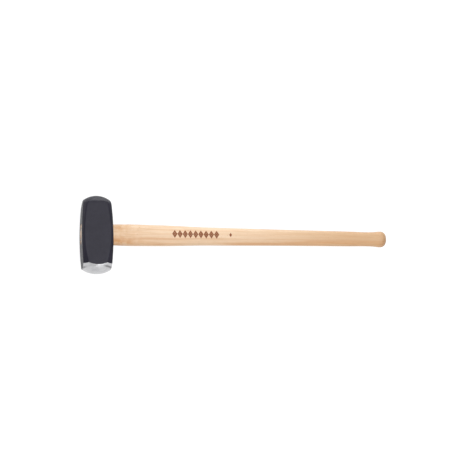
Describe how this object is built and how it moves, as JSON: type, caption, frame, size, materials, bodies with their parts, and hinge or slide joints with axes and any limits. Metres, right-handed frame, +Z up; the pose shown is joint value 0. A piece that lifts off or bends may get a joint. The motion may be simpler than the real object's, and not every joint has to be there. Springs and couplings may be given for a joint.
{
  "type": "sledgehammer",
  "caption": "Heavy two-handed sledgehammer: barrel-sided octagonal forged head, painted pole, bright turned striking face, straight wooden handle with a flared knob, wedged eye.",
  "frame": {"origin": "middle of the lower cheek of the head, on the plane that it rests on, straight below the eye's centre", "axes": "+X along the handle from the head to the knob, +Y along the head from the bright striking face to the painted pole, +Z up through both cheeks"},
  "size_m": [0.6925, 0.177, 0.07],
  "materials": {
    "head_paint": "satin blue-black paint over a forged skin, ground bright at the striking face",
    "handle_wood": "sanded pale hardwood with a thin clear wax",
    "wedge_wood": "sawn end grain",
    "wedge_steel": "plain ground steel"
  },
  "bodies": {
    "root": {"head": "head_paint", "handle": "handle_wood", "wood_wedge": "wedge_wood", "steel_wedge_pole_side": "wedge_steel", "steel_wedge_face_side": "wedge_steel"}
  },
  "joints": []
}
